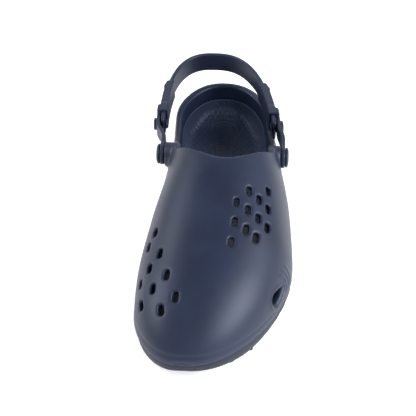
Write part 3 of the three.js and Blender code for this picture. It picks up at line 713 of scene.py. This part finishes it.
def rounded_slot(u, v, half_length, half_width, corner):
    du = np.abs(u) - (half_length - corner)
    dv = np.abs(v) - (half_width - corner)
    outside = np.sqrt(np.maximum(du, 0) ** 2 + np.maximum(dv, 0) ** 2)
    return outside + np.minimum(np.maximum(du, dv), 0) - corner


def teardrop(u, v, length, width):
    """Distance to a drop with its round end toward the toe (negative u)."""
    radius = width / 2
    centre = -length / 2 + radius
    t = np.clip((u - centre) / (length - radius), 0, 1)
    taper = radius * (1 - t**1.5)
    nearest = centre + t * (length - radius)
    return np.sqrt((u - nearest) ** 2 + v * v) - taper


def upper_shell():
    field = Field((-56, -146, 3), (62, 146, 100), 0.9)
    outer = field.last_body(OUTER)
    # Sculpted dish and contour steps round the big drain.
    place, forward, across, outward = tangent_frame(DRAIN_PLACE[0] * LENGTH, np.radians(DRAIN_PLACE[1]))
    window, parts = local_window(field, place, 30)
    u, v, n = dot(parts, forward), dot(parts, across), dot(parts, outward)
    dish = teardrop(u, v, *DISH_SIZE)
    near = np.abs(n) < 14
    dent = 1.5 * smooth_step(-dish / 2.6) - 0.45 * np.exp(-((dish - 0.7) ** 2) / 0.9)
    outer[window] += np.where(near, dent, 0)
    # Three nested ridges sweep round the heelward side of the dish, fading toward their ends.
    arc = np.hypot(u, v) - DISH_RIDGE_RADIUS
    nearest = np.clip(np.round(arc / DISH_RIDGE_PITCH), 0, 2)
    wave = np.abs(arc - nearest * DISH_RIDGE_PITCH)
    ridges = DISH_RIDGE_HEIGHT * smooth_step((1.3 - wave) / 1.1)
    sweep = smooth_step((u - 1) / 6) * smooth_step((12 - np.abs(v)) / 5)
    outer[window] -= np.where(near, ridges * sweep, 0)
    # A faint groove above the parting line runs round the toe.
    level = parting_height(field.axes[1]).astype(np.float32)[None, :, None] + TOE_GROOVE_RISE
    groove = TOE_GROOVE_DEPTH * np.exp(-(((field.z - level) / 1.1) ** 2))
    outer = outer + groove * smooth_step((-55 - field.y) / 30)
    # Hinge pads.
    y, z = field.y - HINGE_Y, field.z - HINGE_Z
    radial = np.sqrt(y * y + z * z)
    for side in SIDES.values():
        depth = side * (pad_face(side) - field.x)
        cone = np.maximum(radial - (EYE_RADIUS + PAD_MARGIN) - 0.2 * depth, -depth)
        cone = np.maximum(cone, depth - 13)
        outer = smooth_min(outer, cone, PAD_BLEND)
    parting = parting_height(field.axes[1]).astype(np.float32)[None, :, None] + GAP
    upper = smooth_max(outer, parting - field.z, 0.9)
    body = np.minimum(upper, np.maximum(field.last_body(MIDSOLE), field.z - parting - 2))
    # Foot space and collar.
    rim = rim_height(field.axes[1])
    rim_slope = np.sqrt(1 + np.gradient(rim, field.step) ** 2)
    above = ((field.z - rim.astype(np.float32)[None, :, None]) / rim_slope[None, :, None])
    bow = THROAT_Y + THROAT_BOW * (field.axes[0] - THROAT_X) ** 2
    bow_slope = np.sqrt(1 + (2 * THROAT_BOW * (field.axes[0] - THROAT_X)) ** 2)
    behind = (field.y - bow[:, None, None]) / bow_slope[:, None, None]
    collar = smooth_max(-above, -behind, COLLAR_ROUND).astype(np.float32)
    body = smooth_max(body, -foot_space(field), 0.6)
    body = smooth_max(body, -collar, RIM_ROUND)
    # Seats, shank holes and the flat recess round the links.
    for side in SIDES.values():
        depth = side * (pad_face(side) - field.x)
        seat = np.maximum(radial - (CAP_RADIUS + GAP), WALL - depth)
        shank = np.maximum(radial - SHANK_RADIUS - GAP, np.abs(depth) - 20)
        recess = np.maximum(radial - EYE_RADIUS - RECESS_MARGIN, depth)
        same_side = side * (field.x - HINGE_X) > 0
        for cut in (np.maximum(seat, depth - 26), shank, recess):
            body = np.where(same_side, smooth_max(body, -cut, 0.5), body)
    # Vents and the drain hole.
    for fraction, degrees in vent_places():
        place, forward, across, outward = tangent_frame(fraction * LENGTH, np.radians(degrees))
        window, parts = local_window(field, place, 12)
        u, v, n = dot(parts, forward), dot(parts, across), dot(parts, outward)
        slot = rounded_slot(u, v, VENT_HALF_LENGTH, VENT_HALF_WIDTH, VENT_CORNER)
        hole = np.maximum(slot, np.abs(n) - 10)
        body[window] = smooth_max(body[window], -hole, VENT_ROUND)
    place, forward, across, outward = tangent_frame(DRAIN_PLACE[0] * LENGTH, np.radians(DRAIN_PLACE[1]))
    window, parts = local_window(field, place, 18)
    u, v, n = dot(parts, forward), dot(parts, across), dot(parts, outward)
    hole = np.maximum(teardrop(u, v, *DRAIN_SIZE), np.abs(n) - 12)
    body[window] = smooth_max(body[window], -hole, VENT_ROUND)
    obj = field_object("upper_shell_foam", field, body, UPPER_FOAM)
    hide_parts("upper_shell")
    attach(obj, "shoe")


# ---------------------------------------------------------------- outsole

LUG_PITCH_ALONG = 9.9
LUG_PITCH_ACROSS = 13.5
FIN_DEPTH = 0.95
FIN_LEAN = 0.42
HEEL_TURN_X = 1.5
HEEL_TURN_Y = 100.0
HEEL_TURN_RADIUS = 41.0
TOE_TURN_X = -3.0
TOE_TURN_Y = -90.0
TOE_TURN_RADIUS = 52.0
FIN_TOE_END = -104.0
FIN_TOE_FADE = 44.0
LUG_TOE_END = -134.0
LUG_TOE_FADE = 20.0
HEEL_PLAIN_Y = 116.0
HEEL_PLAIN_HALF_WIDTH = 18.0
HEEL_PLAIN_FADE = 10.0


def lug_relief(x, y):
    """Tread height on the bottom, 0 in the grooves to 1 on the lugs, with terraced flanks."""
    best = np.full(np.broadcast(x, y).shape, -9.0, np.float32)
    row = np.round(y / LUG_PITCH_ALONG)
    for step in (-1, 0, 1):
        i = row + step
        shift = np.where(np.mod(i, 2) > 0.5, 0.5, 0.0)
        j = np.round(x / LUG_PITCH_ACROSS - shift)
        du = np.abs(x - (j + shift) * LUG_PITCH_ACROSS)
        dv = np.abs(y - i * LUG_PITCH_ALONG)
        reach = np.minimum(
            LUG_PITCH_ACROSS * 0.5 - du - 0.28 * dv, LUG_PITCH_ALONG * 0.62 - dv - 0.12 * du
        )
        best = np.maximum(best, reach.astype(np.float32))
    return terrace(best - 0.75)


def fin_relief(x, y, rise):
    """Height of the slanted fins that the lugs stretch into round the side wall."""
    behind = np.maximum(y - HEEL_TURN_Y, 0)
    ahead = np.maximum(TOE_TURN_Y - y, 0)
    round_heel = HEEL_TURN_RADIUS * np.arctan2(behind, np.abs(x - HEEL_TURN_X)) - behind
    round_toe = TOE_TURN_RADIUS * np.arctan2(ahead, np.abs(x - TOE_TURN_X)) - ahead
    place = y + round_heel - round_toe - FIN_LEAN * rise
    dv = np.abs(place - np.round(place / LUG_PITCH_ALONG) * LUG_PITCH_ALONG)
    return terrace(LUG_PITCH_ALONG / 2 - dv - 0.7)


def terrace(inner):
    wall = smooth_step(inner / 0.8)
    first = smooth_step((inner - 1.5) / 0.5)
    second = smooth_step((inner - 2.7) / 0.5)
    return 0.72 * wall + 0.16 * first + 0.12 * second


def outsole():
    field = Field((-55, -145, -1.5), (61, 145, 31), 0.62)
    outer = field.last_body(TREAD)
    down = np.gradient(outer, field.step, axis=2)
    # Toward the toe the lugs stop sooner where the bottom turns up into the wall.
    sharpness = 1.5 + 5 * smooth_step((-60 - field.y) / 40)
    sideways = smooth_step((1 + down) * sharpness)
    ground = (ground_height(field.axes[1]) + LUG_HEIGHT).astype(np.float32)[None, :, None]
    rise = np.maximum(field.z - ground, 0)
    fins = fin_relief(field.x, field.y, rise)
    lugs = lug_relief(field.x, field.y)
    parting = parting_height(field.axes[1]).astype(np.float32)[None, :, None]
    fade = smooth_step((parting - field.z - 1.6) / 0.8)
    # Round the front of the toe the wall is smooth.
    fins = fins * smooth_step((field.y - FIN_TOE_END) / FIN_TOE_FADE)
    lugs = lugs * smooth_step((field.y - LUG_TOE_END) / LUG_TOE_FADE)
    # The middle of the heel wall is plain, between the fins of the two sides.
    behind = smooth_step((field.y - HEEL_PLAIN_Y) / HEEL_PLAIN_FADE)
    off_centre = np.abs(field.x - HEEL_TURN_X) - HEEL_PLAIN_HALF_WIDTH
    fins = fins * (1 - behind * (1 - smooth_step(off_centre / HEEL_PLAIN_FADE)))
    height = LUG_HEIGHT * lugs * (1 - sideways) + FIN_DEPTH * fins * sideways
    body = outer - height * fade
    body = smooth_max(body, field.z - parting, 0.8)
    body = np.maximum(body, -field.last_body(CUP))
    obj = field_object("outsole_tread", field, body, SOLE_FOAM)
    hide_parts("outsole")
    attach(obj, "shoe")


# ---------------------------------------------------------------- insole

NUB_PITCH = 4.1
NUB_HEIGHT = 0.42
LADDER_HALF_WIDTH = 5.0
LADDER_START = -96.0
LADDER_END = 98.0
RUNG_PITCH = 5.6
OVAL_X = 1.0
OVAL_Y = 117.0
OVAL_HALF_WIDTH = 12.0
OVAL_HALF_LENGTH = 7.5


def footbed_relief(x, y):
    """Moulded pattern of the footbed: nubs, a framed ladder down the middle and an oval."""
    row = np.round(y / (NUB_PITCH * 0.866))
    column = np.round(x / NUB_PITCH - 0.5 * np.mod(row, 2)) + 0.5 * np.mod(row, 2)
    near = np.hypot(x - column * NUB_PITCH, y - row * NUB_PITCH * 0.866)
    nubs = NUB_HEIGHT * smooth_step((1.35 - near) / 0.7)
    frame_u = np.abs(x) - LADDER_HALF_WIDTH
    frame_v = np.abs(y - (LADDER_START + LADDER_END) / 2) - (LADDER_END - LADDER_START) / 2
    panel = np.maximum(frame_u, frame_v)
    border = smooth_step((0.9 - np.abs(panel)) / 0.5)
    rung = np.abs(y - np.round(y / RUNG_PITCH) * RUNG_PITCH)
    rungs = smooth_step((1.3 - rung) / 0.6) * smooth_step((-panel - 1.8) / 0.6)
    relief = np.where(panel > 1.8, nubs, 0.0)
    relief = np.where(panel < 0, np.maximum(relief, 0.35 * rungs), relief)
    relief = np.maximum(relief, 0.4 * border)
    oval = np.hypot((x - OVAL_X) / OVAL_HALF_WIDTH, (y - OVAL_Y) / OVAL_HALF_LENGTH)
    ring = smooth_step((0.09 - np.abs(oval - 1)) / 0.05)
    core = smooth_step((0.09 - np.abs(oval - 0.62)) / 0.05)
    return np.where(oval < 1.15, 0.4 * np.maximum(ring, core), relief)


def insole():
    field = Field((-49, -138, 13), (54, 139, 51), 0.6)
    sock = field.last_body(SOCK)
    relief = footbed_relief(field.x, field.y)
    facing_up = smooth_step((-np.gradient(sock, field.step, axis=2) - 0.15) / 0.3)
    sock = sock + relief * facing_up
    body = smooth_max(foot_seat(field) + LINER_GAP, field.z - lip_height(field) + GAP, 0.5)
    body = smooth_max(body, -sock, 0.5)
    obj = field_object("footbed_liner", field, body, LINER_FOAM_PAINTED_LIGHT)
    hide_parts("insole")
    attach(obj, "shoe")


# ---------------------------------------------------------------- strap

HALF_BAND = BAND_THICKNESS / 2
LINK_INNER = HALF_BAND + GAP
LINK_OUTER = LINK_INNER + LINK_THICKNESS
STUD_PLACE = 33.0
STUD_BORE = 2.3
FLARE_START = 13.0
FLARE_RUN = 15.0
RIVET_HEAD_RADIUS = 7.6


def side_turn(side, s):
    return turn_at(s) if side > 0 else np.pi - turn_at(s)


def band_outward(turn):
    ahead = band_point(np.minimum(turn + 0.01, np.pi))
    tangent = ahead - band_point(np.maximum(turn - 0.01, 0))
    outward = np.stack([tangent[..., 1], -tangent[..., 0]], -1)
    return outward / np.linalg.norm(outward, axis=-1, keepdims=True)


def ride_strap(obj, node):
    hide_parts(node)
    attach(obj, "strap")


def heel_band():
    """The plain band: a rounded strip swept round the back of the heel."""
    stops = 260
    start = turn_at(BAND_START)
    turn = start + (np.pi - 2 * start) * np.linspace(0, 1, stops)
    centre, outward = band_point(turn), band_outward(turn)
    corner, half = 1.15, BAND_WIDTH / 2
    ring = []
    for out, up in ((1, -1), (1, 1), (-1, 1), (-1, -1)):
        quarter = {(1, -1): -np.pi / 2, (1, 1): 0, (-1, 1): np.pi / 2, (-1, -1): np.pi}
        for angle in np.linspace(0, np.pi / 2, 6):
            a = quarter[(out, up)] + angle
            ring.append(
                (
                    out * (HALF_BAND - corner) + corner * np.cos(a),
                    up * (half - corner) + corner * np.sin(a),
                )
            )
    ring = np.array(ring)
    end = np.minimum(np.arange(stops), np.arange(stops)[::-1])
    shrink = 1 - 0.35 * (1 - np.clip(end / 5, 0, 1)) ** 2
    # A shallow hollow runs along the outer face, as moulded strip has.
    out = ring[None, :, 0] * shrink[:, None]
    out = out - 0.18 * (1 - (ring[None, :, 1] / half) ** 2) * (ring[None, :, 0] > 0)
    up = ring[None, :, 1] * (0.93 + 0.07 * shrink[:, None])
    local = np.stack(
        [
            centre[:, None, 0] + outward[:, None, 0] * out,
            centre[:, None, 1] + outward[:, None, 1] * out,
            up,
        ],
        -1,
    )
    points = from_strap_frame(local)
    count = len(ring)
    faces = grid_faces(stops, count, closed=True).tolist()
    faces.append(list(range(count)))
    faces.append([(stops - 1) * count + k for k in range(count)][::-1])
    obj = add_mesh("heel_band_strip", points.reshape(-1, 3), faces, STRAP_FOAM)
    ride_strap(obj, "heel_band")


def strap_arm(name, side):
    """Link with a round eye, swelling into the keeper sleeve that grips the band."""
    link_x = link_plane(side)
    sleeve_x = band_point(side_turn(side, 60.0))[0]
    low_x, high_x = sorted((link_x, sleeve_x))
    step = 0.42
    field = Field((low_x - 9, -10, -12), (high_x + 9, 88, 12), step)
    x, s, up = field.x, field.y, field.z
    # Signed distance out from the band's centre line, looked up along the strap.
    s_axis = np.clip(field.axes[1], 1.0, STRAP_REACH - 1)
    turn = side_turn(side, s_axis)
    centre, outward = band_point(turn), band_outward(turn)
    slope = (outward[:, 0] * side).astype(np.float32)[None, :, None]
    out = side * (x - centre[:, 0].astype(np.float32)[None, :, None]) * slope
    flare = smooth_step((s - FLARE_START) / FLARE_RUN)
    from_plane = side * (x - link_x)
    mid = (LINK_INNER + LINK_OUTER) / 2
    from_link = from_plane * (1 - flare) + (out - mid) * flare
    half_thick = LINK_THICKNESS / 2
    # Plan of the link: eye, neck and straight run, with eased edges.
    eye = np.sqrt(s * s + up * up) - EYE_RADIUS
    run = np.maximum(np.abs(up) - LINK_HALF_WIDTH, np.maximum(-s, s - LINK_END))
    plan = smooth_min(eye, run, 3.0)
    link = smooth_max(plan, np.abs(from_link) - half_thick, 1.0)
    # A second layer stands on the link below the stud, ending in a rounded corner.
    along = (s - SLEEVE_START) / (SLEEVE_END - SLEEVE_START)
    block = smooth_step((0.2 - along) / 0.03)
    bump = np.exp(-(((along - 0.84) / 0.075) ** 2))
    slim = HALF_BAND + GAP + SLEEVE_WALL
    outer_face = slim + (LINK_OUTER - slim) * block + SLEEVE_BEAD * bump
    thickness = (outer_face + slim) / 2
    middle = (outer_face - slim) / 2
    half_width = BAND_WIDTH / 2 + GAP + SLEEVE_WALL - 0.5 * smooth_step((along - 0.2) / 0.1)
    sleeve = rounded_slot(out - middle, up, thickness, half_width, 1.2)
    half_length = (SLEEVE_END - SLEEVE_START) / 2
    from_middle = np.abs(s - (SLEEVE_START + SLEEVE_END) / 2)
    sleeve = smooth_max(sleeve, from_middle - half_length, 0.9)
    arm = smooth_min(link, sleeve, 0.5)
    bore = np.maximum(np.abs(out) - LINK_INNER, np.abs(up) - BAND_WIDTH / 2 - GAP)
    bore = np.maximum(bore, SLEEVE_START - BORE_REACH - s)
    arm = smooth_max(arm, -bore, 0.4)
    shank = np.sqrt(s * s + up * up) - SHANK_RADIUS - GAP
    arm = smooth_max(arm, -shank, 0.6)
    stud = np.sqrt((s - STUD_PLACE) ** 2 + up * up) - STUD_BORE
    arm = smooth_max(arm, -stud, 0.4)
    points, quads = surface_net(field, arm.astype(np.float32))
    normals = sample_normals(field, arm, points)
    placed = from_strap_frame(points)
    obj = add_mesh(f"strap_arm_{name}_foam", placed, quads.tolist(), STRAP_FOAM)
    turned = from_strap_frame(normals) - from_strap_frame(np.zeros(3))
    obj.data.normals_split_custom_set_from_vertices(turned.tolist())
    ride_strap(obj, f"strap_arm_{name}")


def turned(profile, segments, relief=None):
    """Lathe points and faces: profile rows of (out, radius), turned round the out axis."""
    profile = np.array(profile, float)
    angle = 2 * np.pi * np.arange(segments) / segments
    out = np.repeat(profile[:, :1], segments, 1)
    radius = np.repeat(profile[:, 1:2], segments, 1)
    if relief is not None:
        out = out + relief(out, radius, angle[None, :])
    points = np.stack([out, radius * np.cos(angle), radius * np.sin(angle)], -1)
    faces = grid_faces(len(profile), segments, closed=True).tolist()
    faces.append(list(range(segments)))
    faces.append([(len(profile) - 1) * segments + k for k in range(segments)])
    return points.reshape(-1, 3), faces


def rounded_profile(corners, radius, steps=6):
    """A polyline with its inner corners rounded, as a list of points."""
    corners = [np.array(c, float) for c in corners]
    result = [corners[0]]
    for before, here, after in zip(corners, corners[1:], corners[2:]):
        reach_in = min(radius, np.linalg.norm(here - before) * 0.45)
        reach_out = min(radius, np.linalg.norm(after - here) * 0.45)
        a = here + (before - here) / np.linalg.norm(before - here) * reach_in
        b = here + (after - here) / np.linalg.norm(after - here) * reach_out
        for t in np.linspace(0, 1, steps):
            result.append(a * (1 - t) ** 2 + 2 * here * t * (1 - t) + b * t * t)
    result.append(corners[-1])
    return result


def refine(profile, step):
    """More points along the straight stretches of a profile."""
    result = [profile[0]]
    for a, b in zip(profile, profile[1:]):
        count = max(int(np.linalg.norm(np.array(b) - a) / step), 1)
        result += [np.array(a) + (np.array(b) - a) * k / count for k in range(1, count + 1)]
    return result


def strap_stud(name, side):
    head = LINK_OUTER + GAP
    top = head + 1.9
    flange = -HALF_BAND - GAP
    corners = [
        (flange - 0.9, 0.4), (flange - 0.9, 3.6), (flange, 3.6), (flange, 2.0), (head, 2.0),
        (head, 4.7), (top - 0.3, 4.7), (top, 4.0), (top, 0.15),
    ]
    profile = refine(rounded_profile(corners, 0.35), 0.25)

    def facets(out, radius, angle):
        a, b = radius * np.cos(angle + 0.4), radius * np.sin(angle + 0.4)
        on_top = smooth_step((out - (top - 0.35)) / 0.2) * smooth_step((4.0 - radius) / 0.3)
        groove = np.minimum(np.abs(a), np.abs(b))
        return -0.5 * on_top * smooth_step((0.75 - groove) / 0.5)

    points, faces = turned(profile, 96, facets)
    turn = side_turn(side, STUD_PLACE)
    centre, outward = band_point(turn), band_outward(turn)
    x = centre[0] + outward[0] * points[:, 0] - outward[1] * points[:, 1]
    s = centre[1] + outward[1] * points[:, 0] + outward[0] * points[:, 1]
    placed = from_strap_frame(np.stack([x, s, points[:, 2]], -1))
    obj = add_mesh(f"strap_stud_{name}_button", placed, faces, HARD_RUBBER)
    ride_strap(obj, f"strap_stud_{name}")


def hinge_turned(name, node, side, profile, segments=96):
    points, faces = turned(profile, segments)
    x = pad_face(side) + side * points[:, 0]
    placed = np.stack([x, HINGE_Y + points[:, 1], HINGE_Z + points[:, 2]], -1)
    obj = add_mesh(name, placed, faces, HARD_RUBBER)
    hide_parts(node)
    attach(obj, "shoe")


def rivet(name, side):
    head = LINK_THICKNESS + 2 * GAP
    top = head + 2.5
    end = -WALL - 1.2
    corners = [
        (end, 0.3), (end, SHANK_RADIUS), (head, SHANK_RADIUS), (head, RIVET_HEAD_RADIUS),
        (top - 1.1, RIVET_HEAD_RADIUS), (top - 0.25, 6.0),
        (top, 3.4), (top - 0.15, 2.4), (top - 0.7, 1.9), (top - 0.7, 0.1),
    ]
    profile = refine(rounded_profile(corners, 0.7), 0.4)
    hinge_turned(f"rivet_{name}_head", f"rivet_{name}", side, profile)


def rivet_cap(name, side):
    face = -WALL - GAP
    back = face - 2.4
    corners = [
        (back + 0.35, 0.1), (back + 0.25, 2.2), (back, 3.0), (back + 0.1, 4.6), (back + 0.9, CAP_RADIUS),
        (face, CAP_RADIUS), (face, 3.3), (face - 1.2, 3.3), (face - 1.2, 0.1),
    ]
    profile = refine(rounded_profile(corners, 0.5), 0.4)
    hinge_turned(f"rivet_cap_{name}_disc", f"rivet_cap_{name}", side, profile)


# ---------------------------------------------------------------- build


upper_shell()
outsole()
insole()
heel_band()
for side_name, side_sign in SIDES.items():
    strap_arm(side_name, side_sign)
    strap_stud(side_name, side_sign)
    rivet(side_name, side_sign)
    rivet_cap(side_name, side_sign)

# ---------------------------------------------------------------- floor and light


def make_floor():
    mesh = bpy.data.meshes.new("floor")
    mesh.from_pydata([(-3, -3, 0), (3, -3, 0), (3, 3, 0), (-3, 3, 0)], [], [(0, 1, 2, 3)])
    floor = bpy.data.objects.new("floor", mesh)
    floor.location.z = -0.0002
    bpy.context.scene.collection.objects.link(floor)
    material = bpy.data.materials.new("floor_white")
    material.use_nodes = True
    shader = material.node_tree.nodes["Principled BSDF"]
    shader.inputs["Base Color"].default_value = (0.93, 0.93, 0.935, 1)
    shader.inputs["Roughness"].default_value = 0.8
    shader.inputs["Emission Color"].default_value = (1, 1, 1, 1)
    shader.inputs["Emission Strength"].default_value = 0.42
    mesh.materials.append(material)


def make_light(name, place, aim, size, power):
    data = bpy.data.lights.new(name, "AREA")
    data.shape = "DISK"
    data.size = size
    data.energy = power
    light = bpy.data.objects.new(name, data)
    light.location = place
    direction = Vector(aim) - Vector(place)
    light.rotation_euler = direction.to_track_quat("-Z", "Y").to_euler()
    bpy.context.scene.collection.objects.link(light)


def make_world():
    world = bpy.data.worlds.new("studio")
    world.use_nodes = True
    background = world.node_tree.nodes["Background"]
    background.inputs["Strength"].default_value = 1.0
    # White at the horizon, softer walls, and a dark ceiling so the top of the vamp stays deep.
    nodes, links = world.node_tree.nodes, world.node_tree.links
    place = nodes.new("ShaderNodeTexCoord")
    split = nodes.new("ShaderNodeSeparateXYZ")
    ramp = nodes.new("ShaderNodeValToRGB")
    stops = ramp.color_ramp.elements
    stops[0].position = 0.16
    stops[0].color = (1, 1, 1, 1)
    stops[1].position = 0.95
    stops[1].color = (0.075, 0.075, 0.087, 1)
    for position in (0.3, 0.55):
        stops.new(position).color = (0.62, 0.62, 0.62, 1)
    links.new(place.outputs["Generated"], split.inputs["Vector"])
    links.new(split.outputs["Z"], ramp.inputs["Fac"])
    links.new(ramp.outputs["Color"], background.inputs["Color"])
    bpy.context.scene.world = world


make_floor()
make_world()
make_light("key", (1.05, -0.45, 0.9), (0, 0, 0.05), 0.8, 23)
make_light("fill", (-1.05, 0.0, 0.9), (0, 0, 0.05), 0.8, 11)
make_light("back", (0.0, 1.2, 1.1), (0, 0, 0.05), 0.9, 3)
bpy.context.scene.view_settings.view_transform = "Standard"
